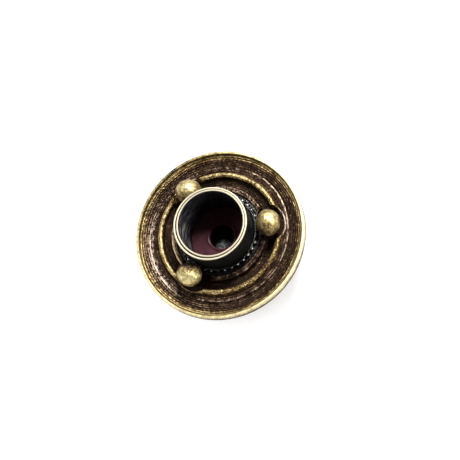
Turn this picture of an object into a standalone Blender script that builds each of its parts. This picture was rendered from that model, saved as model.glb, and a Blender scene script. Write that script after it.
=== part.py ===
"""Flanged sighting tube: a stepped brass dish with three ball knobs, a turning sleeve and a draw tube.

Units are metres. The tube's axis is +Z, and the origin is the centre of the spigot's end face.
"""

import math

import bmesh
import bpy

# Facets round a turned piece, and teeth on the milled ring
SEGMENTS = 56
BALL_SEGMENTS = 24
SMALL_SEGMENTS = 20
TEETH = 36

# Clearances between pieces
SEAT_GAP = 0.00015
TURN_GAP = 0.0003
DRAW_GAP = 0.0002
BALL_GAP = 0.0007

# Tubes
SLEEVE_RADIUS = 0.00865
SLEEVE_WALL = 0.0004
SLEEVE_ABOVE_RIM = 0.0078
DRAW_WALL = 0.0004
DRAW_PROUD = 0.00012
DRAW_TRAVEL = 0.004
DRAW_TAIL = 0.0006
STOP_RING_HEIGHT = 0.001
STOP_RING_WIDTH = 0.0005
MOUTH_CHAMFER = 0.00012

# Milled ring at the foot of the sleeve
MILLED_WIDTH = 0.00085
TOOTH_DEPTH = 0.0005
MILLED_HEIGHT = 0.0007

# Spigot behind the flange and the nut that clamps it
SPIGOT_REACH = 0.010
SPIGOT_WALL = 0.0008
COLLAR_STEP = 0.0006
COLLAR_HEIGHT = 0.0024
COLLAR_DROP = 0.0003
SHOULDER_WIDTH = 0.0017
END_CHAMFER = 0.0004
NUT_WIDTH = 0.0034
NUT_HEIGHT = 0.0024
NUT_SLOT_WIDTH = 0.0018
NUT_SLOT_DEPTH = 0.0012
NUT_SLOTS = 4

# Flange dish: heights are above the back of its edge, widths run outward
HUB_HEIGHT = 0.0024
HUB_MARGIN = 0.0030
LEDGE_HEIGHT = 0.0005
RIM_HEIGHT = 0.0021
HOOP_WALL = 0.0007
HOOP_JOINT = 0.0003
COVE_WIDTH = 0.0027
COVE_DEPTH = 0.0011
CHANNEL_WIDTH = 0.0006
CHANNEL_HEIGHT = 0.0007
STEP_WIDTH = 0.0013
STEP_HEIGHT = 0.0013
RIDGE_WIDTH = 0.0014
RIDGE_HEIGHT = 0.0023
GROOVE_WIDTH = 0.00225
GROOVE_HEIGHT = 0.0007
INNER_RING_WIDTH = 0.0010
INNER_RING_HEIGHT = 0.0020

# Ball knobs, their studs and their pockets
BALL_RADIUS = 0.0030
BALL_HEIGHT = 0.0044
BALL_LAND = 0.0004
POCKET_MARGIN = 0.0002
POCKET_LEDGE = 0.0003
POCKET_HEIGHT = 0.0006
POCKET_LEDGE_HEIGHT = 0.0010
STUD_RADIUS = 0.0011
STUD_COLLAR = 0.0004
STUD_DEPTH = 0.0018
STUD_IN_BALL = 0.0036
KNOB_ANGLES = (93.5, -27.0, 208.5)

# Disc, lens and lens ring inside the draw tube
DISC_BELOW_MOUTH = 0.0112
DISC_THICKNESS = 0.0014
PEEP_RADIUS = 0.0030
LIP_WIDTH = 0.00035
LIP_HEIGHT = 0.0002
LEDGE_WIDTH = 0.0009
LEDGE_THICKNESS = 0.0010
REAR_RELIEF = 0.0001
LENS_EDGE = 0.0010
LENS_BULGE = 0.0006
LENS_RING_HEIGHT = 0.0012
LENS_RING_WIDTH = 0.0009

# Radii that follow from the tubes outward
draw_radius = SLEEVE_RADIUS - SLEEVE_WALL - DRAW_GAP
draw_bore = draw_radius - DRAW_WALL
rear_bore = draw_bore - REAR_RELIEF
milled_bore = SLEEVE_RADIUS + SEAT_GAP
milled_radius = milled_bore + MILLED_WIDTH
spigot_bore = SLEEVE_RADIUS + DRAW_GAP
thread_radius = spigot_bore + SPIGOT_WALL
collar_radius = thread_radius + COLLAR_STEP
flange_bore = thread_radius + SEAT_GAP
flange_seat = collar_radius + SEAT_GAP
inner_ring_radius = flange_seat + INNER_RING_WIDTH
ridge_inner = inner_ring_radius + GROOVE_WIDTH
ridge_outer = ridge_inner + RIDGE_WIDTH
step_radius = ridge_outer + STEP_WIDTH
cove_inner = step_radius + CHANNEL_WIDTH
cove_outer = cove_inner + COVE_WIDTH
hoop_inner = cove_outer + SEAT_GAP
hoop_outer = hoop_inner + HOOP_WALL
knob_circle = SLEEVE_RADIUS + BALL_GAP + BALL_RADIUS
pocket_radius = BALL_RADIUS + POCKET_MARGIN

# Levels that follow from the spigot's end upward
hub_back = SPIGOT_REACH
edge_back = hub_back + HUB_HEIGHT
rim_top = edge_back + RIM_HEIGHT
collar_top = edge_back + INNER_RING_HEIGHT - COLLAR_DROP
collar_seat = collar_top - COLLAR_HEIGHT
milled_low = collar_top + TURN_GAP
milled_top = milled_low + MILLED_HEIGHT
mouth = rim_top + SLEEVE_ABOVE_RIM
disc_top = mouth - DISC_BELOW_MOUTH
disc_low = disc_top - DISC_THICKNESS
ledge_top = disc_low - SEAT_GAP
ledge_low = ledge_top - LEDGE_THICKNESS
lens_top = ledge_low - SEAT_GAP
lens_low = lens_top - LENS_EDGE
lens_ring_top = lens_low - SEAT_GAP
lens_ring_low = lens_ring_top - LENS_RING_HEIGHT
stop_low = lens_ring_low - DRAW_TAIL
stop_top = stop_low + STOP_RING_HEIGHT
sleeve_low = stop_top + SEAT_GAP + DRAW_TRAVEL
ball_centre = edge_back + BALL_HEIGHT
pocket_floor = edge_back + POCKET_HEIGHT
above_all = mouth + BALL_RADIUS


def clear_scene():
    """Remove everything that a new file starts with."""
    for item in list(bpy.data.objects):
        bpy.data.objects.remove(item)


def finish_of(name, colour, roughness, metallic):
    """A plain material for one piece."""
    material = bpy.data.materials.new(name)
    material.use_nodes = True
    shader = material.node_tree.nodes["Principled BSDF"]
    shader.inputs["Base Color"].default_value = (*colour, 1.0)
    shader.inputs["Roughness"].default_value = roughness
    shader.inputs["Metallic"].default_value = metallic
    return material


def arc(radius_r, radius_z, centre, start, end, steps):
    """Points on an ellipse arc in the (r, z) half-plane, angles in degrees."""
    points = []
    for index in range(steps + 1):
        angle = math.radians(start + (end - start) * index / steps)
        r = centre[0] + radius_r * math.cos(angle)
        z = centre[1] + radius_z * math.sin(angle)
        points.append((max(r, 0.0), z))
    return points


def turned(name, profile, steps, ring):
    """Turn a profile of (r, z) points round +Z: a ring's profile closes on itself, a solid's ends on the axis."""
    shell = bmesh.new()
    corners = [shell.verts.new((r, 0.0, z)) for r, z in profile]
    edges = [shell.edges.new(pair) for pair in zip(corners, corners[1:])]
    if ring:
        edges.append(shell.edges.new((corners[-1], corners[0])))
    bmesh.ops.spin(
        shell,
        geom=corners + edges,
        cent=(0.0, 0.0, 0.0),
        axis=(0.0, 0.0, 1.0),
        dvec=(0.0, 0.0, 0.0),
        angle=math.tau,
        steps=steps,
        use_merge=True,
        use_duplicate=False,
    )
    bmesh.ops.remove_doubles(shell, verts=shell.verts, dist=1e-7)
    bmesh.ops.recalc_face_normals(shell, faces=shell.faces)
    mesh = bpy.data.meshes.new(name)
    shell.to_mesh(mesh)
    shell.free()
    mesh.shade_smooth()
    mesh.set_sharp_from_angle(angle=math.radians(35.0))
    piece = bpy.data.objects.new(name, mesh)
    bpy.context.collection.objects.link(piece)
    return piece


def finished(piece, colour, roughness, metallic, parent=None):
    """Give a piece its own material and, for a moving piece, the empty on its joint axis."""
    piece.data.materials.append(finish_of(piece.name, colour, roughness, metallic))
    piece.parent = parent
    return piece


def cutter(piece):
    """Hide a piece that only cuts another one."""
    piece.hide_render = True
    piece.display_type = "WIRE"
    return piece


def cut(target, tool):
    """Take one piece's shape out of another."""
    modifier = target.modifiers.new("cut " + tool.name, "BOOLEAN")
    modifier.operation = "DIFFERENCE"
    modifier.solver = "EXACT"
    modifier.object = tool


def block(name, size, location, turn):
    """A box cutter, turned round +Z in degrees."""
    shell = bmesh.new()
    bmesh.ops.create_cube(shell, size=1.0)
    bmesh.ops.scale(shell, vec=size, verts=shell.verts)
    mesh = bpy.data.meshes.new(name)
    shell.to_mesh(mesh)
    shell.free()
    piece = bpy.data.objects.new(name, mesh)
    bpy.context.collection.objects.link(piece)
    piece.location = location
    piece.rotation_euler = (0.0, 0.0, math.radians(turn))
    return cutter(piece)


def joint_axis(name):
    """An empty on the tube's axis that carries a moving group."""
    pivot = bpy.data.objects.new(name, None)
    bpy.context.collection.objects.link(pivot)
    return pivot


def around(radius, angle):
    """A place on a circle round the tube's axis."""
    turn = math.radians(angle)
    return radius * math.cos(turn), radius * math.sin(turn)


def flange_profile():
    """The dish's section, from the bore outward along the back and inward along the front."""
    ridge_middle = (ridge_inner + ridge_outer) / 2.0
    half_ridge = RIDGE_WIDTH / 2.0
    ridge_foot = edge_back + STEP_HEIGHT
    crown = arc(half_ridge, RIDGE_HEIGHT - STEP_HEIGHT, (ridge_middle, ridge_foot), 0.0, 180.0, 8)
    cove_foot = edge_back + CHANNEL_HEIGHT
    cove = arc(COVE_WIDTH, COVE_DEPTH, (cove_inner, cove_foot + COVE_DEPTH), 0.0, -90.0, 5)
    front = [
        (cove_outer, edge_back + LEDGE_HEIGHT),
        *cove,
        (step_radius, cove_foot),
        (step_radius, edge_back + STEP_HEIGHT),
        *crown,
        (ridge_inner, edge_back + GROOVE_HEIGHT),
        (inner_ring_radius, edge_back + GROOVE_HEIGHT),
        (inner_ring_radius, edge_back + INNER_RING_HEIGHT),
        (flange_seat, edge_back + INNER_RING_HEIGHT),
        (flange_seat, collar_seat - SEAT_GAP),
        (flange_bore, collar_seat - SEAT_GAP),
    ]
    back = [
        (flange_bore, hub_back),
        (hoop_outer - HUB_MARGIN - HUB_HEIGHT, hub_back),
        (hoop_outer - HUB_MARGIN, edge_back),
        (hoop_outer, edge_back),
        (hoop_outer, edge_back + LEDGE_HEIGHT),
    ]
    return back + front


def pocket_profile():
    """Section of one pocket: stud hole, pocket floor, ledge and clear space above."""
    hole = STUD_RADIUS + SEAT_GAP
    return [
        (0.0, pocket_floor - STUD_DEPTH - SEAT_GAP),
        (hole, pocket_floor - STUD_DEPTH - SEAT_GAP),
        (hole, pocket_floor),
        (pocket_radius - POCKET_LEDGE, pocket_floor),
        (pocket_radius - POCKET_LEDGE, edge_back + POCKET_LEDGE_HEIGHT),
        (pocket_radius, edge_back + POCKET_LEDGE_HEIGHT),
        (pocket_radius, above_all),
        (0.0, above_all),
    ]


def make_flange():
    """The dish with its three pockets, and the hoop round its edge."""
    dish = turned("flange_dish", flange_profile(), SEGMENTS, True)
    for number, angle in enumerate(KNOB_ANGLES, 1):
        pocket = cutter(turned("pocket_%d" % number, pocket_profile(), 32, False))
        pocket.location = (*around(knob_circle, angle), 0.0)
        cut(dish, pocket)
    finished(dish, (0.17, 0.11, 0.06), 0.48, 1.0)
    low = edge_back + LEDGE_HEIGHT + SEAT_GAP
    bevel = HOOP_WALL * 0.25
    section = [
        (hoop_inner, low),
        (hoop_outer, low),
        (hoop_outer, rim_top - bevel),
        (hoop_outer - bevel, rim_top),
        (hoop_inner + bevel, rim_top),
        (hoop_inner, rim_top - bevel),
    ]
    hoop = turned("rim_hoop", section, SEGMENTS, True)
    middle = (hoop_inner + hoop_outer) / 2.0
    size = (HOOP_WALL * 3.0, HOOP_JOINT, RIM_HEIGHT * 3.0)
    place = (*around(middle, KNOB_ANGLES[0]), rim_top)
    cut(hoop, block("hoop_joint", size, place, KNOB_ANGLES[0]))
    finished(hoop, (0.80, 0.66, 0.40), 0.28, 1.0)


def make_spigot():
    """The threaded spigot and the ring nut that clamps it in the flange."""
    shoulder = stop_low - SEAT_GAP
    inner = spigot_bore - SHOULDER_WIDTH
    section = [
        (inner, 0.0),
        (thread_radius - END_CHAMFER, 0.0),
        (thread_radius, END_CHAMFER),
        (thread_radius, collar_seat),
        (collar_radius, collar_seat),
        (collar_radius, collar_top),
        (spigot_bore, collar_top),
        (spigot_bore, shoulder),
        (inner, shoulder),
    ]
    finished(turned("threaded_spigot", section, SEGMENTS, True), (0.62, 0.46, 0.22), 0.36, 1.0)
    top = hub_back - SEAT_GAP
    low = top - NUT_HEIGHT
    nut_bore = thread_radius + SEAT_GAP
    nut_radius = nut_bore + NUT_WIDTH
    bevel = NUT_HEIGHT * 0.15
    section = [
        (nut_bore, low),
        (nut_radius - bevel, low),
        (nut_radius, low + bevel),
        (nut_radius, top - bevel),
        (nut_radius - bevel, top),
        (nut_bore, top),
    ]
    nut = turned("ring_nut", section, SEGMENTS, True)
    for number in range(NUT_SLOTS):
        angle = 45.0 + 360.0 * number / NUT_SLOTS
        size = (NUT_SLOT_DEPTH * 2.0, NUT_SLOT_WIDTH, NUT_HEIGHT * 2.0)
        place = (*around(nut_radius, angle), (low + top) / 2.0)
        cut(nut, block("nut_slot_%d" % (number + 1), size, place, angle))
    finished(nut, (0.62, 0.46, 0.22), 0.36, 1.0)


def make_knobs():
    """Three ball knobs on studs that screw into the dish."""
    hole = STUD_RADIUS + SEAT_GAP
    land = hole + BALL_LAND
    land_low = -math.sqrt(BALL_RADIUS**2 - land**2)
    stud_top = land_low + STUD_IN_BALL
    open_angle = math.degrees(math.asin(land_low / BALL_RADIUS))
    ball = arc(BALL_RADIUS, BALL_RADIUS, (0.0, 0.0), 90.0, open_angle, 12)
    ball += [(hole, land_low), (hole, stud_top + SEAT_GAP), (0.0, stud_top + SEAT_GAP)]
    ball[0] = (0.0, BALL_RADIUS)
    floor = pocket_floor - ball_centre
    collar = STUD_RADIUS + STUD_COLLAR
    stud = [
        (0.0, stud_top),
        (STUD_RADIUS, stud_top),
        (STUD_RADIUS, land_low - SEAT_GAP),
        (collar, land_low - SEAT_GAP),
        (collar, floor + SEAT_GAP),
        (STUD_RADIUS, floor + SEAT_GAP),
        (STUD_RADIUS, floor - STUD_DEPTH),
        (0.0, floor - STUD_DEPTH),
    ]
    for number, angle in enumerate(KNOB_ANGLES, 1):
        place = (*around(knob_circle, angle), ball_centre)
        knob = turned("ball_knob_%d" % number, ball, BALL_SEGMENTS, False)
        knob.location = place
        finished(knob, (0.60, 0.47, 0.24), 0.42, 1.0)
        pin = turned("stud_%d" % number, stud, SMALL_SEGMENTS, False)
        pin.location = place
        finished(pin, (0.50, 0.37, 0.18), 0.40, 1.0)


def make_sleeve(axis):
    """The outer sleeve and the milled ring pressed on its foot."""
    inner = SLEEVE_RADIUS - SLEEVE_WALL
    section = [
        (inner, sleeve_low),
        (SLEEVE_RADIUS, sleeve_low),
        (SLEEVE_RADIUS, mouth - MOUTH_CHAMFER),
        (SLEEVE_RADIUS - MOUTH_CHAMFER, mouth),
        (inner + MOUTH_CHAMFER, mouth),
        (inner, mouth - MOUTH_CHAMFER),
    ]
    finished(turned("outer_sleeve", section, SEGMENTS, True), (0.09, 0.08, 0.06), 0.45, 1.0, axis)
    bevel = MILLED_HEIGHT * 0.2
    section = [
        (milled_bore, milled_low),
        (milled_radius, milled_low),
        (milled_radius, milled_top - bevel),
        (milled_radius - bevel, milled_top),
        (milled_bore, milled_top),
    ]
    ring = turned("milled_ring", section, TEETH * 2, True)
    root = (milled_radius - TOOTH_DEPTH) / milled_radius
    half_pitch = math.pi / TEETH
    middle = (milled_bore + milled_radius) / 2.0
    for corner in ring.data.vertices:
        x, y, z = corner.co
        if math.hypot(x, y) > middle and round(math.atan2(y, x) / half_pitch) % 2:
            corner.co = (x * root, y * root, z)
    finished(ring, (0.14, 0.10, 0.07), 0.5, 1.0, axis)


def make_draw_tube(axis):
    """The draw tube with its stop ring, disc, lens and lens ring."""
    top = mouth + DRAW_PROUD
    ledge = rear_bore - LEDGE_WIDTH
    section = [
        (rear_bore, stop_low),
        (draw_radius, stop_low),
        (draw_radius, top - MOUTH_CHAMFER),
        (draw_radius - MOUTH_CHAMFER, top),
        (draw_bore + MOUTH_CHAMFER, top),
        (draw_bore, top - MOUTH_CHAMFER),
        (draw_bore, ledge_top),
        (ledge, ledge_top),
        (ledge, ledge_low),
        (rear_bore, ledge_low),
    ]
    finished(turned("draw_tube", section, SEGMENTS, True), (0.10, 0.09, 0.08), 0.5, 1.0, axis)
    stop_bore = draw_radius + DRAW_GAP * 0.5
    section = [
        (stop_bore, stop_low),
        (stop_bore + STOP_RING_WIDTH, stop_low),
        (stop_bore + STOP_RING_WIDTH, stop_top),
        (stop_bore, stop_top),
    ]
    finished(turned("stop_ring", section, SEGMENTS, True), (0.55, 0.41, 0.20), 0.4, 1.0, axis)
    edge = draw_bore - SEAT_GAP
    section = [
        (PEEP_RADIUS, disc_low),
        (edge, disc_low),
        (edge, disc_top),
        (PEEP_RADIUS + LIP_WIDTH * 2.0, disc_top),
        (PEEP_RADIUS + LIP_WIDTH * 1.5, disc_top + LIP_HEIGHT),
        (PEEP_RADIUS + LIP_WIDTH * 0.5, disc_top + LIP_HEIGHT),
        (PEEP_RADIUS, disc_top),
    ]
    finished(turned("peep_disc", section, SEGMENTS, True), (0.06, 0.012, 0.018), 0.6, 0.0, axis)
    lens_radius = rear_bore - SEAT_GAP
    upper = arc(ledge - SEAT_GAP, LENS_BULGE, (0.0, lens_top), 90.0, 0.0, 4)
    lower = arc(lens_radius - LENS_RING_WIDTH - SEAT_GAP, LENS_BULGE, (0.0, lens_low), 0.0, -90.0, 4)
    upper[0] = (0.0, lens_top + LENS_BULGE)
    lower[-1] = (0.0, lens_low - LENS_BULGE)
    section = [*upper, (lens_radius, lens_top), (lens_radius, lens_low), *lower]
    finished(turned("eye_lens", section, SEGMENTS, False), (0.75, 0.80, 0.82), 0.05, 0.0, axis)
    section = [
        (lens_radius - LENS_RING_WIDTH, lens_ring_low),
        (lens_radius, lens_ring_low),
        (lens_radius, lens_ring_top),
        (lens_radius - LENS_RING_WIDTH, lens_ring_top),
    ]
    finished(turned("lens_ring", section, SEGMENTS, True), (0.10, 0.09, 0.08), 0.5, 1.0, axis)


def make_part():
    """Build the whole part."""
    clear_scene()
    make_flange()
    make_spigot()
    make_knobs()
    turn_axis = joint_axis("sleeve_turn_axis")
    slide_axis = joint_axis("draw_slide_axis")
    slide_axis.parent = turn_axis
    make_sleeve(turn_axis)
    make_draw_tube(slide_axis)


make_part()
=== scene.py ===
"""Looks for the flanged sighting tube: antique brass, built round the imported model.

Shapes are in millimetres, and MM turns them into metres. Materials, lights and the floor are in metres.
Directions on the part are in degrees round +Z from +X.
"""
import math

import bmesh
import bpy
import numpy as np
from mathutils import Matrix, Vector, noise


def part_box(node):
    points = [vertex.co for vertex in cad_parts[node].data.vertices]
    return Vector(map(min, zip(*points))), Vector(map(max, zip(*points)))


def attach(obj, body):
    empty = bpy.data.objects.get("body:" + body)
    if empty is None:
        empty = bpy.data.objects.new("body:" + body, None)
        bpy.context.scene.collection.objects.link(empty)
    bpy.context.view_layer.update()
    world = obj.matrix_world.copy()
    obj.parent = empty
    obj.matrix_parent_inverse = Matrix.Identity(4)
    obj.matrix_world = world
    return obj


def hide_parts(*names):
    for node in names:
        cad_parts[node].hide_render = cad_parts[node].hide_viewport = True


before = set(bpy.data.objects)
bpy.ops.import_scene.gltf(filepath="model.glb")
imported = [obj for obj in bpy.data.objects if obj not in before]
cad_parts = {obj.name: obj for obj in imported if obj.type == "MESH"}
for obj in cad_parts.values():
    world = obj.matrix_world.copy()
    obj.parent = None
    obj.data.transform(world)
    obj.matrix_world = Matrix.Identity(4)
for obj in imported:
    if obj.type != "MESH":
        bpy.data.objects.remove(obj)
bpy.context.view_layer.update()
MM = 0.001
TAU = math.tau


def corners(node):
    """A CAD node's lowest and highest corners, in millimetres."""
    return [np.array(corner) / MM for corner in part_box(node)]


# Boxes of the CAD nodes
dish_back = corners("flange_dish")[0][2]
hoop_low, hoop_high = corners("rim_hoop")
sleeve_low, sleeve_high = corners("outer_sleeve")
ring_low, ring_high = corners("milled_ring")
draw_low, draw_high = corners("draw_tube")
disc_low, disc_high = corners("peep_disc")
lens_top = corners("eye_lens")[1][2]
collar_high = corners("threaded_spigot")[1]

# Gap between fitted pieces
CLEARANCE = 0.15

# The flange's edge: its radius, the top of its hoop and the level of its back
RIM_HEIGHT = 2.1
OUT = hoop_high[0]
RIM = hoop_high[2]
EDGE = RIM - RIM_HEIGHT

# Balls: their radius, the depth of the flat land below the centre, and the hole for the stud
BALL = 3.0
BALL_FLAT = 2.506
STUD_HOLE = 1.25
STUD_HOLE_TOP = 1.2


def ball_centre(node):
    """The centre of a ball knob, from its box."""
    low, high = corners(node)
    return (low[0] + high[0]) / 2, (low[1] + high[1]) / 2, high[2] - BALL


knob_places = [ball_centre("ball_knob_%d" % number) for number in (1, 2, 3)]


# Mesh helpers

# Largest share of a run that a rounded corner takes, and the angle that stays sharp
ROUND_SHARE = 0.45
SHARP = math.radians(40.0)

# Radius below which a point is on the axis, and the distance in metres within which points merge
ON_AXIS = 1e-6
MERGE = 1e-8


def fillet(section, steps=4):
    """Round a closed profile, given as (r, z, radius) corners, and return its (r, z) points."""
    result = []
    for index, (r, z, radius) in enumerate(section):
        here = np.array((r, z), float)
        if radius <= 0:
            result.append((r, z))
            continue
        to_before = np.array(section[index - 1][:2], float) - here
        to_after = np.array(section[(index + 1) % len(section)][:2], float) - here
        before = np.linalg.norm(to_before)
        after = np.linalg.norm(to_after)
        reach = min(radius, ROUND_SHARE * before, ROUND_SHARE * after)
        start = here + to_before / before * reach
        end = here + to_after / after * reach
        for step in range(steps + 1):
            t = step / steps
            result.append(tuple((1 - t) ** 2 * start + 2 * t * (1 - t) * here + t * t * end))
    return result


def dense(points, longest, closed=True):
    """Split a profile's runs to at most the given length, or to what a rule gives for each run's middle."""
    result = []
    last = len(points) if closed else len(points) - 1
    for index in range(last):
        a = np.array(points[index], float)
        b = np.array(points[(index + 1) % len(points)], float)
        most = longest(*(a + b) / 2) if callable(longest) else longest
        parts = max(1, int(math.ceil(np.linalg.norm(b - a) / most)))
        for step in range(parts):
            result.append(tuple(a + (b - a) * step / parts))
    if not closed:
        result.append(tuple(points[-1]))
    return result


def smooth(mesh):
    """Shade a mesh smooth, with its sharp corners kept."""
    mesh.shade_smooth()
    mesh.set_sharp_from_angle(angle=SHARP)


def lathe(name, profile, segments, shift=None, closed=True, gap=0.0, start=0.0, place=(0.0, 0.0, 0.0)):
    """Turn a profile round +Z, with an optional shift of each point by its place."""
    full = gap == 0.0
    columns = segments if full else segments + 1
    angles = [start + gap / 2 + (TAU - gap) * i / segments for i in range(columns)]
    shell = bmesh.new()
    grid = []
    for angle in angles:
        column = []
        for r, z in profile:
            dr, dz = shift(r, z, angle) if shift else (0.0, 0.0)
            radius = max(r + dr, 0.0) if r > ON_AXIS else 0.0
            x = radius * math.cos(angle)
            y = radius * math.sin(angle)
            column.append(shell.verts.new(Vector((x, y, z + dz)) * MM + Vector(place) * MM))
        grid.append(column)
    rows = len(profile)
    for i in range(segments):
        one = grid[i]
        two = grid[(i + 1) % columns]
        for j in range(rows if closed else rows - 1):
            k = (j + 1) % rows
            shell.faces.new((one[j], two[j], two[k], one[k]))
    if not full:
        shell.faces.new(list(reversed(grid[0])))
        shell.faces.new(grid[-1])
    bmesh.ops.remove_doubles(shell, verts=shell.verts, dist=MERGE)
    bmesh.ops.dissolve_degenerate(shell, dist=MERGE, edges=shell.edges)
    bmesh.ops.recalc_face_normals(shell, faces=shell.faces)
    mesh = bpy.data.meshes.new(name)
    shell.to_mesh(mesh)
    shell.free()
    smooth(mesh)
    piece = bpy.data.objects.new(name, mesh)
    bpy.context.collection.objects.link(piece)
    return piece


def settle(piece):
    """Apply a piece's modifiers to its mesh."""
    graph = bpy.context.evaluated_depsgraph_get()
    mesh = bpy.data.meshes.new_from_object(piece.evaluated_get(graph))
    piece.modifiers.clear()
    piece.data = mesh
    smooth(mesh)


def paint(piece, rule, layer="wear_and_light"):
    """Store a value from 0 to 1 at each point, such as how worn it is or how much painted light or shade it
    takes, for the material to read.
    """
    mesh = piece.data
    spots = np.empty(len(mesh.vertices) * 3)
    mesh.vertices.foreach_get("co", spots)
    x, y, z = spots.reshape(-1, 3).T / MM
    values = rule(np.hypot(x, y), z, np.arctan2(y, x))
    made = mesh.attributes.new(layer, "FLOAT", "POINT")
    made.data.foreach_set("value", np.clip(values, 0.0, 1.0).astype(np.float32))


def put(piece, body, material, node):
    """Give a piece its material, its body and the CAD node that it stands for."""
    piece.data.materials.clear()
    piece.data.materials.append(material)
    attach(piece, body)
    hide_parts(node)


# Soft shapes for shifts and paint

def hump(value, centre, width):
    """A soft hump of height 1 round a centre."""
    return np.exp(-(((value - centre) / width) ** 2))


def sector(angle, centre, width):
    """A soft hump of height 1 round a direction given in degrees."""
    apart = np.abs(np.angle(np.exp(1j * (angle - math.radians(centre)))))
    return np.exp(-((apart / math.radians(width)) ** 2))


def rise(value, start, length):
    """0 up to the start, then up to 1 over the length."""
    return np.clip((value - start) / length, 0.0, 1.0)


def fall(value, end, length):
    """1 until the length before the end, then down to 0 at the end."""
    return np.clip((end - value) / length, 0.0, 1.0)


def around(angle, reach, height):
    """A point for noise that goes round the axis, so that the noise closes on itself."""
    return Vector((math.cos(angle) * reach, math.sin(angle) * reach, height))


def cast_wave(amount, scale, seed):
    """A shift that makes a turned surface slightly uneven, as an old casting is."""
    outward = 0.4 * amount
    elsewhere = Vector((7.1, 0, 0))

    def shift(r, z, angle):
        spot = Vector((r * math.cos(angle) * scale + seed, r * math.sin(angle) * scale, z * scale))
        return outward * noise.noise(spot + elsewhere), amount * noise.noise(spot)

    return shift


def broken(r, angle, scale, seed):
    """Uneven strength round 1, so that a worn line comes and goes."""
    spots = zip(r * np.cos(angle) * scale, r * np.sin(angle) * scale, np.full_like(r, seed))
    return np.clip(1.0 + 1.5 * np.array([noise.noise(Vector(p)) for p in spots]), 0.0, 1.6)


# Material helpers

class Nodes:
    """A small wrapper that adds nodes and links to one material."""

    def __init__(self, name):
        self.material = bpy.data.materials.new(name)
        self.material.use_nodes = True
        self.tree = self.material.node_tree
        self.shader = self.tree.nodes["Principled BSDF"]

    def add(self, kind, **values):
        node = self.tree.nodes.new(kind)
        for key, value in values.items():
            setattr(node, key, value)
        return node

    def link(self, source, target):
        self.tree.links.new(source, target)

    def maths(self, operation, *values):
        node = self.add("ShaderNodeMath", operation=operation)
        for socket, value in zip(node.inputs, values):
            if hasattr(value, "is_output"):
                self.link(value, socket)
            else:
                socket.default_value = value
        return node.outputs[0]

    def swing(self, value, amount):
        """Noise from 0 to 1, moved to lie round 0 and scaled."""
        return self.maths("MULTIPLY", self.maths("SUBTRACT", value, 0.5), amount)

    def layer(self, name):
        """A value painted on the points."""
        return self.add("ShaderNodeAttribute", attribute_name=name).outputs["Fac"]

    def place(self):
        return self.add("ShaderNodeTexCoord").outputs["Object"]

    def grain(self, scale, detail, rough):
        node = self.add("ShaderNodeTexNoise")
        node.inputs["Scale"].default_value = scale
        node.inputs["Detail"].default_value = detail
        node.inputs["Roughness"].default_value = rough
        self.link(self.place(), node.inputs["Vector"])
        return node.outputs["Fac"]

    def radius(self):
        """The distance from the tube's axis, in metres."""
        parts = self.add("ShaderNodeSeparateXYZ")
        self.link(self.place(), parts.inputs[0])
        across = self.maths("MULTIPLY", parts.outputs[0], parts.outputs[0])
        along = self.maths("MULTIPLY", parts.outputs[1], parts.outputs[1])
        return self.maths("SQRT", self.maths("ADD", across, along))

    def ramp(self, value, stops):
        node = self.add("ShaderNodeValToRGB")
        band = node.color_ramp
        while len(band.elements) < len(stops):
            band.elements.new(0.5)
        for element, (where, colour) in zip(band.elements, stops):
            element.position = where
            element.color = (*colour, 1.0)
        self.link(value, node.inputs["Fac"])
        return node.outputs["Color"]

    def mix(self, factor, a, b):
        node = self.add("ShaderNodeMix", data_type="RGBA")
        self.link(factor, node.inputs["Factor"])
        for socket, value in ((node.inputs["A"], a), (node.inputs["B"], b)):
            if hasattr(value, "is_output"):
                self.link(value, socket)
            else:
                socket.default_value = (*value, 1.0)
        return node.outputs["Result"]

    def range(self, value, low, high, out_low, out_high):
        node = self.add("ShaderNodeMapRange")
        self.link(value, node.inputs["Value"])
        numbers = {"From Min": low, "From Max": high, "To Min": out_low, "To Max": out_high}
        for key, number in numbers.items():
            node.inputs[key].default_value = number
        return node.outputs["Result"]

    def relief(self, height, strength, distance, before=None):
        node = self.add("ShaderNodeBump")
        node.inputs["Strength"].default_value = strength
        node.inputs["Distance"].default_value = distance
        self.link(height, node.inputs["Height"])
        if before is not None:
            self.link(before, node.inputs["Normal"])
        return node.outputs["Normal"]


# Materials

# Noise per metre in the aged brass, from patches to specks, and where its four tones lie
BROAD, FINE, SPECK = 420.0, 1500.0, 3600.0
TONE_STOPS = (0.10, 0.34, 0.56, 0.80)
ROSY = (0.50, 0.40, 0.34)

# Depth of the pits and of the turned rings, in metres
PIT_DEPTH = 0.00022
RING_DEPTH = 0.00008


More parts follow.
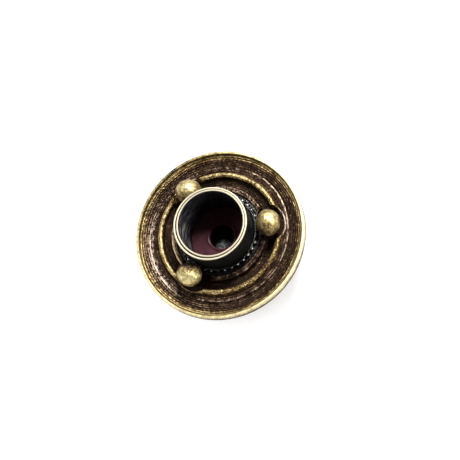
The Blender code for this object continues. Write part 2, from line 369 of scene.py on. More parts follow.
def aged_brass(name, tones, rough, pits, spread, rings=0.0, gleam=0.3, cast=(1.0, 1.0, 1.0), coarse=1.0,
               metal=1.0):
    """Brass under a dark patina: four tones, from hollow to worn metal, by the layer of wear and painted
    light, and noise.
    """
    n = Nodes(name)
    wear_and_light = n.layer("wear_and_light")
    rosy = n.layer("rosy")
    broad = n.grain(BROAD / coarse, 4.0, 0.6)
    fine = n.grain(FINE / coarse, 4.0, 0.75)
    speck = n.grain(SPECK / coarse, 2.0, 0.6)
    drift = n.maths("ADD", n.swing(broad, spread * 1.6), n.swing(fine, spread * 3.4))
    drift = n.maths("ADD", drift, n.swing(speck, spread * 1.6))
    ragged = n.maths("ADD", wear_and_light, drift)
    tone = n.ramp(ragged, list(zip(TONE_STOPS, tones)))
    # The rosy layer turns bright tones pinkish; on the dish it is strongest on the painted highlights
    pale = n.maths("MULTIPLY", rosy, n.range(ragged, 0.30, 0.60, 0.0, 1.0))
    n.link(n.mix(pale, tone, ROSY), n.shader.inputs["Base Color"])
    n.link(n.range(ragged, 0.25, 0.60, 0.15, metal), n.shader.inputs["Metallic"])
    n.shader.inputs["Specular IOR Level"].default_value = gleam
    n.shader.inputs["Specular Tint"].default_value = (*cast, 1.0)
    gloss = n.maths("ADD", n.range(ragged, 0.15, 0.75, *rough), n.swing(fine, 0.3))
    n.link(gloss, n.shader.inputs["Roughness"])
    height = n.maths("ADD", n.maths("MULTIPLY", fine, 0.7), n.maths("MULTIPLY", speck, 0.3))
    normal = n.relief(height, pits, PIT_DEPTH)
    if rings:
        wobble = n.maths("ADD", n.maths("MULTIPLY", n.radius(), rings), n.maths("MULTIPLY", broad, 5.0))
        normal = n.relief(n.maths("SINE", wobble), 0.32, RING_DEPTH, normal)
    n.link(normal, n.shader.inputs["Normal"])
    return n.material


def plain_brass(name, colour, dark, rough):
    """Turned brass with light tarnish."""
    n = Nodes(name)
    broad = n.grain(300.0, 5.0, 0.6)
    fine = n.grain(2200.0, 3.0, 0.6)
    n.link(n.mix(n.range(broad, 0.42, 0.68, 0.0, 0.75), colour, dark), n.shader.inputs["Base Color"])
    n.shader.inputs["Metallic"].default_value = 1.0
    n.link(n.maths("ADD", n.maths("MULTIPLY", broad, 0.2), rough - 0.1), n.shader.inputs["Roughness"])
    n.link(n.relief(fine, 0.15, 0.00004), n.shader.inputs["Normal"])
    return n.material


def red_fibre(name):
    """Dark red vulcanised fibre with dust and faint mottling, pale grey where a painted highlight lies."""
    n = Nodes(name)
    broad = n.grain(500.0, 5.0, 0.65)
    fine = n.grain(3500.0, 4.0, 0.7)
    base = n.ramp(broad, [(0.32, (0.040, 0.008, 0.014)), (0.70, (0.085, 0.026, 0.036))])
    dusty = n.mix(n.range(fine, 0.58, 0.78, 0.0, 0.5), base, (0.16, 0.08, 0.085))
    n.link(n.mix(n.layer("wear_and_light"), dusty, (0.42, 0.36, 0.37)), n.shader.inputs["Base Color"])
    n.link(n.range(broad, 0.3, 0.7, 0.42, 0.62), n.shader.inputs["Roughness"])
    n.shader.inputs["Specular IOR Level"].default_value = 0.12
    n.link(n.relief(fine, 0.35, 0.00006), n.shader.inputs["Normal"])
    return n.material


def lens_glass(name, glint_at):
    """Coated glass over a dark bore: dark and glossy, with a painted grey reflection, rougher, round one
    place.
    """
    n = Nodes(name)
    glint_grain = n.grain(900.0, 4.0, 0.7)
    away = n.add("ShaderNodeVectorMath", operation="DISTANCE")
    n.link(n.place(), away.inputs[0])
    away.inputs[1].default_value = Vector(glint_at) * MM
    close = n.range(away.outputs["Value"], 0.0008, 0.0022, 1.0, 0.0)
    glint = n.maths("MULTIPLY", close, n.range(glint_grain, 0.38, 0.6, 0.0, 1.0))
    n.link(n.mix(glint, (0.001, 0.001, 0.002), (0.34, 0.335, 0.35)), n.shader.inputs["Base Color"])
    n.link(n.range(glint, 0.0, 1.0, 0.06, 0.4), n.shader.inputs["Roughness"])
    n.shader.inputs["Specular IOR Level"].default_value = 0.05
    return n.material


dish_look = aged_brass(
    "dish_look", ((0.003, 0.0015, 0.001), (0.030, 0.014, 0.006), (0.17, 0.108, 0.038), (0.66, 0.53, 0.26)),
    rough=(0.30, 0.42), pits=1.3, spread=0.40, rings=14000.0, gleam=0.22, cast=(0.9, 0.6, 0.42))
hoop_look = aged_brass(
    "hoop_look", ((0.02, 0.014, 0.006), (0.14, 0.095, 0.036), (0.42, 0.33, 0.14), (0.78, 0.69, 0.42)),
    rough=(0.46, 0.50), pits=0.5, spread=0.30, metal=0.65)
knob_look = aged_brass(
    "knob_look", ((0.012, 0.007, 0.003), (0.12, 0.072, 0.028), (0.34, 0.255, 0.095), (0.67, 0.57, 0.29)),
    rough=(0.54, 0.42), pits=1.1, spread=0.50, coarse=1.4, metal=0.9)
tube_look = aged_brass(
    "tube_look", ((0.002, 0.002, 0.002), (0.010, 0.011, 0.010), (0.10, 0.09, 0.06), (0.66, 0.60, 0.445)),
    rough=(0.40, 0.55), pits=0.3, spread=0.16, gleam=0.35, metal=0.6)
bore_look = aged_brass(
    "bore_look", ((0.003, 0.003, 0.004), (0.050, 0.052, 0.058), (0.17, 0.17, 0.17), (0.56, 0.505, 0.37)),
    rough=(0.24, 0.55), pits=0.08, spread=0.06, gleam=0.6, metal=0.5)
tooth_look = aged_brass(
    "tooth_look", ((0.002, 0.002, 0.002), (0.008, 0.007, 0.006), (0.20, 0.18, 0.14), (0.90, 0.87, 0.78)),
    rough=(0.16, 0.36), pits=0.7, spread=0.14, gleam=0.6, metal=0.6)
spigot_look = aged_brass(
    "spigot_look", ((0.002, 0.002, 0.002), (0.05, 0.03, 0.014), (0.34, 0.23, 0.09), (0.66, 0.49, 0.23)),
    rough=(0.14, 0.34), pits=0.6, spread=0.14, gleam=0.4)
rear_look = plain_brass("rear_look", (0.62, 0.45, 0.20), (0.30, 0.19, 0.09), 0.36)
inner_look = plain_brass("inner_look", (0.03, 0.028, 0.025), (0.012, 0.011, 0.010), 0.5)
fibre_look = red_fibre("fibre_look")
glass_look = lens_glass("glass_look", (-1.1, -1.75, lens_top - 0.4))


# Flange dish: finer section than the CAD's, with the same levels

# Radii of the dish, from its bore to its edge
BORE, COLLAR_SEAT, RING_MIDDLE, INNER_RING = 9.8, 10.4, 11.0, 11.55
GROOVE = 12.9
RIDGE_IN, RIDGE, RIDGE_OUT = 13.65, 14.4, 15.05
STEP = 16.5
COVE_IN, COVE_FOOT, COVE_SLOPE, LIP = 16.95, 17.25, 18.1, 19.2
COVE_OUT = OUT - 0.85
WALL_OUT = OUT - 0.02
HUB_FOOT, HUB_HEAD = OUT - 5.4, OUT - 3.0

# Levels of the dish above the back of its edge, the cove's rise, and the collar that the dish seats
WALL_TOP, CHANNEL, STEP_TOP, RING_TOP, RIDGE_TOP = 0.5, 0.7, 1.3, 2.0, 2.3
FRONT = 0.55
COVE_RISE = 1.1
COVE_STEPS = 14
COLLAR_TOP, COLLAR_HEIGHT = 1.7, 2.4
seat_level = EDGE + COLLAR_TOP - COLLAR_HEIGHT - CLEARANCE

# Rings left by the turned pattern: their spacing, and the bands that carry them as from, to and strength
RING_PITCH = 0.52
RING_BANDS = ((15.2, 16.2, 1.0), (16.6, OUT - 1.2, 1.0), (11.7, 13.5, 0.7), (13.9, 14.8, 0.15))
DISH_SEGMENTS = 480
dish_wave = cast_wave(0.05, 0.55, 3.0)


def ripple(r, angle):
    """Uneven rings left in the casting by its turned pattern, from -1 to 1."""
    drift = noise.noise(around(angle, 1.3, r * 0.35))
    deep = 0.55 + 0.6 * noise.noise(around(angle, 3.1, r * 0.9 + 5.0))
    return math.sin(TAU * r / RING_PITCH + 2.4 * drift) * max(0.0, min(1.0, deep))


def ripple_share(r):
    """How strongly each band of the dish carries the rings."""
    for start, end, share in RING_BANDS:
        if start < r < end:
            return share
    return 0.0


def step_drift(angle):
    """How far the step strays outwards on one side."""
    return 0.32 * sector(angle, 15, 50)


def ridge_drift(angle):
    """How far the ridge stands off centre at each angle."""
    return 0.16 * np.cos(angle - math.radians(10))


def dish_shift(r, z, angle):
    """Casting waves everywhere, rings on the front, and the step and ridge a little off centre."""
    dr, dz = dish_wave(r, z, angle)
    if z > EDGE + FRONT:
        spot = around(angle, r, 2.0)
        dz += 0.075 * ripple_share(r) * ripple(r, angle) + 0.035 * noise.noise(spot * 1.9)
        if RIDGE_IN - 0.05 < r < RIDGE_OUT + 0.05:
            dz += (0.03 + 0.14 * float(sector(angle, 290, 60))) * noise.noise(spot * 3.4)
    if r < RING_MIDDLE:
        return 0.0, dz
    drift = step_drift(angle) * hump(r, STEP, 0.45) + ridge_drift(angle) * hump(r, RIDGE, 0.75)
    return dr + float(drift), dz


def crown(inner, outer, foot, top, steps=18):
    """A rounded ridge, from its outer foot to its inner foot."""
    middle = (inner + outer) / 2
    half = (outer - inner) / 2
    turns = [math.pi * i / steps for i in range(steps + 1)]
    return [(middle + half * math.cos(t), foot + (top - foot) * max(math.sin(t), 0.0) ** 0.7)
            for t in turns]


def quarter_cove():
    """The cove's quarter of an oval, from its lip down to its foot."""
    turns = [-math.pi / 2 * i / COVE_STEPS for i in range(COVE_STEPS + 1)]
    wide = COVE_OUT - COVE_IN
    return [(COVE_IN + wide * math.cos(t), EDGE + CHANNEL + COVE_RISE + COVE_RISE * math.sin(t))
            for t in turns]


def as_corners(points, first_radius):
    """A curve's points as corners, of which only the first is rounded."""
    return [(r, z, 0.0 if index else first_radius) for index, (r, z) in enumerate(points)]


dish_section = [
    (BORE, dish_back, 0.1), (HUB_FOOT, dish_back, 0.3), (HUB_HEAD, EDGE, 0.3), (WALL_OUT, EDGE, 0.15),
    (WALL_OUT, EDGE + WALL_TOP, 0.12), (COVE_OUT, EDGE + WALL_TOP, 0.0),
    *as_corners(quarter_cove(), 0.08),
    (STEP, EDGE + CHANNEL, 0.12), (STEP, EDGE + STEP_TOP, 0.10),
    *as_corners(crown(RIDGE_IN, RIDGE_OUT, EDGE + STEP_TOP, EDGE + RIDGE_TOP), 0.2),
    (RIDGE_IN, EDGE + CHANNEL, 0.25), (INNER_RING, EDGE + CHANNEL, 0.3),
    (INNER_RING, EDGE + RING_TOP, 0.24), (COLLAR_SEAT, EDGE + RING_TOP, 0.10),
    (COLLAR_SEAT, seat_level, 0.0), (BORE, seat_level, 0.0)]
dish_points = dense(fillet(dish_section), lambda r, z: 0.09 if z > EDGE + FRONT else 0.6)
dish = lathe("dish", dish_points, DISH_SEGMENTS, dish_shift)

# Pockets round the balls: radius, how much longer they are along the rim, and how far each is set
# outward and along the rim
POCKET = BALL + 0.45
POCKET_LONG = 1.25
POCKET_ASIDE = ((0.0, 0.0), (0.0, 0.65), (-0.6, 0.0))
POCKET_STEP = POCKET - 0.3
POCKET_MOUTH = POCKET + 0.25
POCKET_SEGMENTS = 96
HOLE_END, POCKET_FLOOR, POCKET_LEDGE = EDGE - 1.35, EDGE + 0.6, EDGE + 1.0
FLARE_START, FLARE_END, TOOL_TOP = EDGE + 1.6, EDGE + 3.2, EDGE + 9.0
NEAR_HOLE = 2.0
pocket_section = [
    (0.0, HOLE_END), (STUD_HOLE, HOLE_END), (STUD_HOLE, POCKET_FLOOR), (POCKET_STEP, POCKET_FLOOR),
    (POCKET_STEP, POCKET_LEDGE), (POCKET, POCKET_LEDGE), (POCKET + 0.05, FLARE_START),
    (POCKET_MOUTH, FLARE_END), (POCKET_MOUTH, TOOL_TOP), (0.0, TOOL_TOP)]


def oval(bearing, outward, along):
    """A shift that draws a pocket out along the rim and sets it aside, but not its stud hole."""

    def shift(r, z, angle):
        if r < NEAR_HOLE:
            return 0.0, 0.0
        a = math.cos(angle - bearing)
        b = math.sin(angle - bearing) / POCKET_LONG
        size = a * a + b * b
        lead = a * outward + b * along / POCKET_LONG
        rest = outward ** 2 + (along / POCKET_LONG) ** 2 - r * r
        return (lead + math.sqrt(lead * lead - size * rest)) / size - r, 0.0

    return shift


pocket_tools = []
for number, ((x, y, _), aside) in enumerate(zip(knob_places, POCKET_ASIDE), 1):
    tool = lathe("pocket_tool_%d" % number, dense(pocket_section, 0.4, False), POCKET_SEGMENTS,
                 oval(math.atan2(y, x), *aside), False, place=(x, y, 0.0))
    cut = dish.modifiers.new("pocket", "BOOLEAN")
    cut.operation = "DIFFERENCE"
    cut.solver = "EXACT"
    cut.object = tool
    pocket_tools.append(tool)
settle(dish)
for tool in pocket_tools:
    bpy.data.objects.remove(tool)


def knob_distance(r, angle):
    """How far each point is from the nearest pocket's middle, in the pocket's oval measure."""
    nearest = np.full_like(r, np.inf)
    for (x, y, _), (out, along) in zip(knob_places, POCKET_ASIDE):
        turn = angle - math.atan2(y, x)
        outward = r * np.cos(turn) - math.hypot(x, y) - out
        sideways = (r * np.sin(turn) - along) / POCKET_LONG
        nearest = np.minimum(nearest, np.hypot(outward, sideways))
    return nearest


def ridge_wear(r, level, angle, patchy):
    """Bright along the ridge, broken up and darker on one side, with a dark line at its outer foot."""
    on_ridge = r - ridge_drift(angle)
    sparkle = broken(r, angle, 3.2, 9.0) - 1.0
    value = 0.26 * fall(np.abs(on_ridge - RIDGE - 0.02), 0.95, 0.3) * rise(level, 1.0, 0.4)
    value += (0.18 + 0.1 * patchy) * hump(on_ridge, RIDGE + 0.05, 0.70) * rise(level, STEP_TOP, 0.6)
    value += 0.34 * sparkle * hump(on_ridge, RIDGE, 0.75) * (0.3 + 0.7 * sector(angle, 290, 70))
    value -= 0.22 * hump(r, RIDGE, 0.8) * sector(angle, 285, 45)
    return value - 0.10 * hump(r, RIDGE_OUT + 0.2, 0.2)


def cove_wear_and_highlights(r, level, angle, patchy):
    """Broken lines on the step's edge and in the cove, painted highlights strongest on one side, and the
    lip's brighter slope.
    """
    step_edge = hump(r - step_drift(angle), STEP - 0.08, 0.28) * rise(level, 1.0, 0.2)
    wide_side = sector(angle, 200, 90)
    # Painted highlights: along the step's edge on one side, and in the cove's foot and slope on the other
    value = (0.12 + 0.58 * sector(angle, -14, 30)) * patchy * step_edge
    value += 0.40 * patchy * hump(r, COVE_FOOT, 0.52) * sector(angle, 172, 38)
    value += 0.16 * hump(r, COVE_SLOPE, 0.6) * sector(angle, 160, 40)
    value -= 0.09 * hump(r, COVE_SLOPE + 0.1, 0.4) * (1.0 - sector(angle, 165, 50))
    value += (0.34 + 0.06 * wide_side) * rise(r, OUT - 2.3, 1.0)
    value += (0.16 + 0.08 * wide_side) * rise(r, OUT - 1.25, 0.2)
    return value + 0.22 * rise(r, LIP, 0.15) * sector(angle, 320, 45)


def ring_wear_and_light(r, level, angle):
    """A painted highlight arc on the inner ring's edge, a dull top with painted shade on one side, and
    darkness in the groove beside it.
    """
    # Painted highlight along the ring's edge, strongest on one side
    bright_side = 0.08 + 0.95 * sector(angle, 178, 27)
    value = bright_side * hump(r, INNER_RING - 0.05, 0.38) * rise(level, 1.6, 0.25)
    value += 0.10 * rise(r, COLLAR_SEAT, 0.3) * fall(r, INNER_RING, 0.2) * rise(level, 1.8, 0.15)
    value += 0.12 * hump(r, COLLAR_SEAT + 0.2, 0.2) * rise(level, 1.6, 0.25)
    value -= 0.12 * hump(r, GROOVE, 0.7) * fall(level, 1.6, 0.5)
    value -= 0.30 * fall(r, INNER_RING + 0.15, 0.3) * fall(level, 1.7, 0.3)
    # Painted shadow of the tube on one side of the ring's top
    return value - 0.14 * hump(r, RING_MIDDLE, 0.6) * sector(angle, 290, 48)


def dish_wear_and_light(r, z, angle):
    """The wear and painted light of each band, black in the pockets with a bright edge round them, worn
    metal and painted highlight, and plain walls and back.
    """
    level = z - EDGE
    rings = np.array([ripple_share(a) * ripple(a, b) for a, b in zip(r, angle)])
    patchy = broken(r, angle, 1.1, 4.0)
    value = 0.18 + 0.25 * rings + ring_wear_and_light(r, level, angle)
    value += ridge_wear(r, level, angle, patchy) + cove_wear_and_highlights(r, level, angle, patchy)
    near = knob_distance(r, angle)
    value = np.where((near < POCKET - 0.04) & (level < RIDGE_TOP + 0.3), 0.0, value)
    value -= 0.12 * hump(near, POCKET + 0.2, 0.4)
    # Bright edge round each pocket: worn metal and a painted highlight
    edge = hump(near, POCKET + 0.12, 0.18) * rise(level, 0.9, 0.1) * (r > GROOVE - 0.3)
    value += (0.70 - value) * edge
    value = np.where((r > OUT - 0.75) & (level < CHANNEL), 0.34, value)
    return np.where(level < -0.2, 0.55, value)


def dish_rosy(r, z, angle):
    """Where bright tones are pinkish: most on the painted highlight in the cove on one side, and on the
    step's, inner ring's and pockets' edges, not on the ridge, the lip or the back.
    """
    value = 0.22 + 0.75 * sector(angle, 165, 40) * hump(r, COVE_FOOT - 0.05, 0.8)
    value += 0.6 * hump(r, STEP - 0.2, 0.3)
    value += 0.6 * hump(r, RING_MIDDLE + 0.2, 0.5) * (1.0 - 1.3 * sector(angle, 178, 30))
    value += 0.7 * hump(knob_distance(r, angle), POCKET + 0.1, 0.3)
    return value * fall(r, OUT - 1.6, 0.6) * rise(np.abs(r - RIDGE), 0.8, 0.3) * (z > EDGE)


paint(dish, dish_wear_and_light)
paint(dish, dish_rosy, "rosy")
put(dish, "flange", dish_look, "flange_dish")


# Hoop round the edge, with its open joint behind the first ball

HOOP_IN, HOOP_TOP_IN = OUT - 0.74, OUT - 0.7
HOOP_BEND = RIM - 0.5
HOOP_JOINT = 0.06
HOOP_SEGMENTS = 420
hoop_foot = hoop_low[2]
joint_at = math.atan2(knob_places[0][1], knob_places[0][0])
hoop_section = [
    (HOOP_IN, hoop_foot, 0.08), (OUT, hoop_foot, 0.12), (OUT, RIM, 0.22),
    (HOOP_TOP_IN, RIM, 0.12), (HOOP_IN, HOOP_BEND, 0.1)]


def hoop_shift(r, z, angle):
    """A hoop bent by hand: slow waves and small dents, most on its outer side."""
    spot = around(angle, 5.0, z * 0.2)
    slow = noise.noise(spot * 0.5 + Vector((1.3, 4.0, 0)))
    small = noise.noise(spot * 3.0 + Vector((9.0, 2.0, 0)))
    dent = 0.05 * slow + 0.02 * small
    share = max(0.1, rise(r, OUT - 0.75, 0.5))
    return -share * (0.05 + dent), dent - 0.04


def hoop_wear_and_shade(r, z, angle):
    """Bright all round, duller on the inner face, with painted shade low on the outer wall, lower on two
    sides, dark at the joint.
    """
    value = 0.66 + 0.2 * rise(z, HOOP_BEND, 0.5) - 0.14 * fall(r, OUT - 0.35, 0.3)
    value += 0.08 * sector(angle, -15, 25) - 0.42 * sector(angle, 95, 42) - 0.12 * sector(angle, 235, 38)
    # Painted shade low on the outer wall, except on one side
    value -= 0.24 * fall(z, RIM - 0.8, 0.5) * (1.0 - sector(angle, -12, 40))
    return value - 0.6 * sector(angle, math.degrees(joint_at), 1.7)


hoop = lathe("hoop", dense(fillet(hoop_section, 5), 0.3), HOOP_SEGMENTS, hoop_shift, gap=HOOP_JOINT / OUT,
             start=joint_at)
paint(hoop, hoop_wear_and_shade)
put(hoop, "flange", hoop_look, "rim_hoop")


# Outer sleeve

TUBE_WALL = 0.4
SLEEVE_SEGMENTS = 220
sleeve_foot, mouth = sleeve_low[2], sleeve_high[2]
sleeve_out = sleeve_high[0]
sleeve_in = sleeve_out - TUBE_WALL
sleeve_section = [
    (sleeve_in, sleeve_foot, 0.05), (sleeve_out, sleeve_foot, 0.05),
    (sleeve_out, mouth, 0.16), (sleeve_in, mouth, 0.14)]
sleeve_wave = cast_wave(0.012, 0.7, 11.0)


def tube_worn(r, z, angle):
    """Bright at the mouth, blackened below."""
    return 0.16 + 0.8 * rise(z, mouth - 0.32, 0.2)


sleeve = lathe("sleeve", dense(fillet(sleeve_section, 5), 0.35), SLEEVE_SEGMENTS, sleeve_wave)
paint(sleeve, tube_worn)
put(sleeve, "sleeve", tube_look, "outer_sleeve")


# Milled ring round the foot of the sleeve

TEETH = 36
TOOTH_SEGMENTS = 12
TOOTH_DEPTH = 0.5
TOOTH_POINT = 1.3
ring_foot, ring_top = ring_low[2], ring_high[2]
tooth_tip = ring_high[0]
ring_in = sleeve_out + CLEARANCE
tooth_root = ring_in + 0.15
milled_section = [
    (ring_in, ring_foot, 0.05), (tooth_tip, ring_foot, 0.08),
    (tooth_tip, ring_top, 0.16), (ring_in, ring_top, 0.08)]


def tooth_shift(r, z, angle):
    """Pointed teeth on the ring's outer side."""
    phase = (angle * TEETH / TAU) % 1.0
    depth = TOOTH_DEPTH * (1 - abs(2 * phase - 1) ** TOOTH_POINT)
    return -depth * rise(r, tooth_root, tooth_tip - tooth_root - 0.05), 0.0


def milled_wear_and_glints(r, z, angle):
    """Black, with bright tips on some teeth more than on others: worn metal painted as white glints."""
    uneven = 0.75 + 0.45 * np.sin(angle * 7.0 + 1.0) * np.sin(angle * 11.0)
    return 0.05 + 0.9 * uneven * rise(r, tooth_tip - 0.32, 0.16) * rise(z, ring_top - 0.5, 0.2)


milled = lathe("milled", dense(fillet(milled_section, 3), 0.25), TEETH * TOOTH_SEGMENTS, tooth_shift)
paint(milled, milled_wear_and_glints)
put(milled, "sleeve", tooth_look, "milled_ring")


# Draw tube with turning marks inside

REAR_RELIEF = 0.1
SHELF_WIDTH, SHELF_THICK = 0.9, 1.0
MARK_PITCH = 1.3
DRAW_SEGMENTS = 200
draw_foot, draw_top = draw_low[2], draw_high[2]
draw_out = draw_high[0]
draw_bore = draw_out - TUBE_WALL
rear_bore = draw_bore - REAR_RELIEF
shelf_in = rear_bore - SHELF_WIDTH
shelf = disc_low[2] - CLEARANCE
draw_section = [
    (rear_bore, draw_foot, 0.05), (draw_out, draw_foot, 0.05), (draw_out, draw_top, 0.16),
    (draw_bore, draw_top, 0.14), (draw_bore, shelf, 0.0), (shelf_in, shelf, 0.1),
    (shelf_in, shelf - SHELF_THICK, 0.1), (rear_bore, shelf - SHELF_THICK, 0.0)]


def draw_run(r, z):
    """Short runs in the bore above the shelf, long ones elsewhere."""
    return 0.075 if r < draw_bore + 0.05 and z > shelf else 0.4


def turning_marks(r, z, angle):
    """Rings left by the tool inside the bore, streaks along it, and a mouth set slightly to one side."""
    aside = 0.12 * math.cos(angle) * rise(z, draw_top - 3.0, 3.0)
    if abs(r - draw_bore) < 0.1 and shelf < z < draw_top - 0.5:
        soft = 0.5 + 0.5 * noise.noise(around(angle, 1.5, z * 0.8))
        streak = noise.noise(around(angle, 9.0, z * 0.22))
        return aside + 0.11 * soft * math.sin(z * TAU / MARK_PITCH) + 0.03 * streak, 0.0
    return aside, 0.0


def draw_wear_and_light(r, z, angle):
    """Bright at the mouth, blackened inside, with painted light on one side of the bore: grey streaks and
    lit crests of the turning rings.
    """
    spots = zip(np.cos(angle) * 3.0, np.sin(angle) * 3.0, z * 1.6)
    # Painted light on one side of the bore: grey streaks and the crests of the turning rings
    lit_streaks = rise(np.array([noise.noise(Vector(p)) for p in spots]), 0.0, 0.35) * sector(angle, 158, 42)
    lit_crests = rise(np.sin(z * TAU / MARK_PITCH), 0.2, 0.6) * sector(angle, 165, 50)
    marks = (0.46 * lit_streaks + 0.24 * lit_crests) * (r < draw_bore + TUBE_WALL / 2)
    return 0.15 + marks + 0.8 * rise(z, draw_top - 0.34, 0.2)


draw = lathe("draw", dense(fillet(draw_section, 5), draw_run), DRAW_SEGMENTS, turning_marks)
paint(draw, draw_wear_and_light)
put(draw, "draw", bore_look, "draw_tube")


# Disc with a bead round its peep hole

PEEP = 3.0
BEAD_IN, BEAD_OUT, BEAD_FOOT = 3.18, 3.52, 3.7
BEAD_HEIGHT = 0.2
DISC_SEGMENTS = 160
disc_foot, bead_top = disc_low[2], disc_high[2]
disc_out = disc_high[0]
face = bead_top - BEAD_HEIGHT
disc_section = [
    (PEEP, disc_foot, 0.1), (disc_out, disc_foot, 0.05), (disc_out, face, 0.1), (BEAD_FOOT, face, 0.1),
    (BEAD_OUT, bead_top, 0.1), (BEAD_IN, bead_top, 0.1), (PEEP, face, 0.1)]


def disc_glint(r, z, angle):
    """A short painted highlight on the bead."""
    return 0.5 * hump(r, BEAD_IN + 0.07, 0.1) * sector(angle, 165, 14) * (z > face)


disc = lathe("disc", dense(fillet(disc_section), 0.3), DISC_SEGMENTS, cast_wave(0.03, 0.5, 5.0))
paint(disc, disc_glint)
put(disc, "draw", fibre_look, "peep_disc")


# Ball knobs: lumpy castings with a flat land round the stud, darker on one side from painted shade

# Each ball's direction and amount of painted shade, of a bulge and of a longer way, and how rough it is
BALL_FAULTS = (
    {"painted_shade": (245.0, 0.26), "bulge": (282.0, 0.32), "long": (325.0, 0.34), "rough": 0.14},
    {"painted_shade": (245.0, 0.34), "bulge": (0.0, 0.0), "long": (55.0, 0.36), "rough": 0.14},
    {"painted_shade": (50.0, 0.50), "bulge": (55.0, 0.34), "long": (325.0, 0.28), "rough": 0.30})
BALL_STEPS = 60
BALL_SEGMENTS = 96
ball_arc = math.pi / 2 + math.asin(BALL_FLAT / BALL)
ball_turns = [math.pi / 2 - ball_arc * i / BALL_STEPS for i in range(1, BALL_STEPS + 1)]
ball_profile = [(0.0, BALL)] + [(BALL * math.cos(t), BALL * math.sin(t)) for t in ball_turns]
ball_profile += [(STUD_HOLE, -BALL_FLAT), (STUD_HOLE, STUD_HOLE_TOP), (0.0, STUD_HOLE_TOP)]


def ball_knob(number, centre, faults):
    """One ball, with its own lumps and painted shade."""
    rough = faults["rough"]

    def lumpy(r, z, angle):
        if r <= STUD_HOLE + 0.01 and z < BALL - 1.0:
            return 0.0, 0.0
        spot = around(angle, r, z)
        deep = rough * noise.noise(spot * 0.5 + Vector((number * 5.3, 1, 2)))
        deep += 0.45 * rough * noise.noise(spot * 1.4 + Vector((number * 3.1, 8, 2))) - 0.6 * rough
        size = max(math.hypot(r, z), ON_AXIS)
        bulge_way, bulge = faults["bulge"]
        long_way, extra = faults["long"]
        swell = bulge * math.cos(angle - math.radians(bulge_way)) * r / size
        swell += extra * ((math.cos(angle - math.radians(long_way)) * r / size) ** 2 - 0.35)
        deep += swell * rise(z, -2.4, 1.5)
        return deep * r / size, deep * z / size

    def knob_wear_and_shade(r, z, angle):
        x = r * np.cos(angle) - centre[0]
        y = r * np.sin(angle) - centre[1]
        high = (z - centre[2]) / BALL
        inward = -(x * centre[0] + y * centre[1]) / (BALL * math.hypot(centre[0], centre[1]))
        patch = np.array([noise.noise(Vector(p) * 0.55) for p in zip(x + centre[0], y + centre[1], z)])
        shade_way, painted_shade = faults["painted_shade"]
        under = (x * math.cos(math.radians(shade_way)) + y * math.sin(math.radians(shade_way))) / BALL
        # Painted light and shade: a little lighter at the top, darker on one side
        wear_and_light = 0.62 + 0.10 * high + 0.26 * patch - painted_shade * rise(under, -0.1, 1.0)
        # Darker on the side towards the tube, most low down
        return wear_and_light - 0.40 * rise(inward, 0.1, 1.0) * (1.2 - high)

    knob = lathe("knob_%d" % number, ball_profile, BALL_SEGMENTS, lumpy, False, place=centre)
    paint(knob, knob_wear_and_shade)
    put(knob, "flange", knob_look, "ball_knob_%d" % number)


for number, (centre, faults) in enumerate(zip(knob_places, BALL_FAULTS), 1):
    ball_knob(number, centre, faults)


# Spigot with its thread

SPIGOT_GAP = 0.2
SPIGOT_WALL = 0.8
SHOULDER_WIDTH = 1.7
THREAD_PITCH, THREAD_DEPTH = 0.75, 0.28
THREAD_START, THREAD_END = 0.4, 9.7
SPIGOT_SEGMENTS = 144
spigot_top = collar_high[2]
collar_out = collar_high[0]
collar_foot = seat_level + CLEARANCE
spigot_bore = sleeve_out + SPIGOT_GAP
thread_out = spigot_bore + SPIGOT_WALL
shoulder_in = spigot_bore - SHOULDER_WIDTH
shoulder_top = draw_foot - CLEARANCE
spigot_section = [
    (shoulder_in, 0.0, 0.15), (thread_out, 0.0, 0.4), (thread_out, collar_foot, 0.0),
    (collar_out, collar_foot, 0.0), (collar_out, spigot_top, 0.12), (spigot_bore, spigot_top, 0.1),
    (spigot_bore, shoulder_top, 0.0), (shoulder_in, shoulder_top, 0.1)]


def spigot_run(r, z):
    """Short runs on the thread, long ones elsewhere."""
    return 0.09 if r > thread_out - 0.35 and z < THREAD_END + 0.3 else 0.5


def thread(r, z, angle):
    """A fine right-hand thread on the outside, fading in at the end face."""
    if r < thread_out - CLEARANCE or z > THREAD_END:
        return 0.0, 0.0
    phase = (z / THREAD_PITCH - angle / TAU) % 1.0
    return -THREAD_DEPTH * rise(z, THREAD_START, 0.4) * (1 - abs(2 * phase - 1)), 0.0


def spigot_worn(r, z, angle):
    """Worn brass on the thread, black in the bore and on the part inside the dish."""
    return np.where((z > dish_back + 0.5) | (r < spigot_bore + CLEARANCE), 0.04, 0.72)


spigot = lathe("spigot", dense(fillet(spigot_section), spigot_run), SPIGOT_SEGMENTS, thread)
paint(spigot, spigot_worn)
put(spigot, "flange", spigot_look, "threaded_spigot")

# CAD nodes that stay as they are, with their own looks
kept = {"ring_nut": rear_look, "stud_1": tooth_look, "stud_2": tooth_look, "stud_3": tooth_look,
        "stop_ring": rear_look, "lens_ring": inner_look, "eye_lens": glass_look}
for name, look in kept.items():
    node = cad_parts[name]
    node.data.materials.clear()
    node.data.materials.append(look)


# Camera from the photo: its tilt from the tube's axis, the axis's lean in the image, the camera's turn round
# the axis, and its distance
TILT, LEAN, TURN, AWAY = math.radians(21.7), math.radians(130.9), math.radians(8.0), 220.0

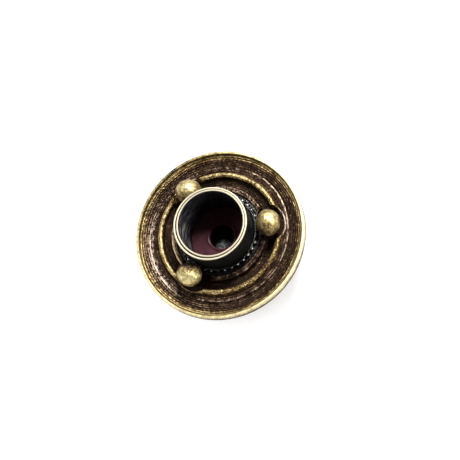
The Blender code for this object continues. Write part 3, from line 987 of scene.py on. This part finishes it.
# Image size, pixels per millimetre, and the pixel where the axis meets the rim's level
IMAGE = 460.0
SCALE, CENTRE_X, CENTRE_Y = 4.257, 218.3, 232.6
back = Vector((math.sin(TURN) * math.sin(TILT), -math.cos(TURN) * math.sin(TILT), math.cos(TILT)))
lean = (Vector((0, 0, 1)) - back * back.z).normalized()
side = lean.cross(back)
right = lean * math.cos(LEAN) + side * math.sin(LEAN)
up = lean * math.sin(LEAN) - side * math.cos(LEAN)
off_right = (IMAGE / 2 - CENTRE_X) / SCALE
off_down = (IMAGE / 2 - CENTRE_Y) / SCALE
aim = Vector((0, 0, RIM)) + right * off_right - up * off_down
camera = bpy.data.objects.new("camera", bpy.data.cameras.new("camera"))
bpy.context.collection.objects.link(camera)
camera.data.lens = SCALE * AWAY / IMAGE * camera.data.sensor_width
camera.data.clip_start = 0.005
facing = Matrix((right, up, back)).transposed().to_4x4()
camera.matrix_world = Matrix.Translation((aim + back * AWAY) * MM) @ facing
bpy.context.scene.camera = camera


# Floor: white to the camera and in reflections, with a painted contact shadow, greyer where the part is
# close
bpy.ops.mesh.primitive_plane_add(size=4.0, location=(0.0, 0.0, -0.0002))
floor = bpy.context.object
floor.name = "floor"
white = Nodes("floor_look")
white.shader.inputs["Base Color"].default_value = (0.25, 0.245, 0.235, 1.0)
white.shader.inputs["Roughness"].default_value = 0.9
white.shader.inputs["Emission Color"].default_value = (1.0, 1.0, 1.0, 1.0)
path = white.add("ShaderNodeLightPath")
seen = white.maths("MAXIMUM", path.outputs["Is Camera Ray"], path.outputs["Is Glossy Ray"])
seen = white.maths("MAXIMUM", seen, path.outputs["Is Transmission Ray"])
openness = white.add("ShaderNodeAmbientOcclusion", samples=8)
openness.inputs["Distance"].default_value = 0.03
# Painted contact shadow: the glow drops where the ambient occlusion finds the part close
glow = white.range(openness.outputs["AO"], 0.30, 0.66, 0.28, 0.99)
white.link(white.maths("MULTIPLY", seen, glow), white.shader.inputs["Emission Strength"])
floor.data.materials.append(white.material)


# Lights and background

def area_light(name, direction, distance, size, power, colour=(1.0, 1.0, 1.0)):
    """A soft round light that points at the part, with its distance and size in metres."""
    lamp = bpy.data.objects.new(name, bpy.data.lights.new(name, "AREA"))
    bpy.context.collection.objects.link(lamp)
    lamp.data.shape = "DISK"
    lamp.data.size = size
    lamp.data.energy = power
    lamp.data.color = colour
    lamp.location = Vector((0, 0, RIM * MM)) + direction.normalized() * distance
    lamp.rotation_euler = direction.to_track_quat("Z", "Y").to_euler()


area_light("key_light", up * 0.85 + back * 0.72 + right * 0.06, 0.45, 0.13, 3.1, (1.0, 0.985, 0.96))
area_light("fill_light", right + back * 0.95 + up * 0.2, 0.5, 0.16, 1.7, (1.0, 0.99, 0.97))
area_light("edge_light", back * 0.45 + up * 0.2 - right, 0.5, 0.25, 0.9)
area_light("low_light", back * 0.45 - up - right * 0.2, 0.5, 0.25, 0.6)
world = bpy.data.worlds.new("studio")
bpy.context.scene.world = world
world.use_nodes = True
background = world.node_tree.nodes["Background"]
background.inputs["Color"].default_value = (1.0, 0.99, 0.975, 1.0)
background.inputs["Strength"].default_value = 0.11
bpy.context.scene.view_settings.view_transform = "Standard"
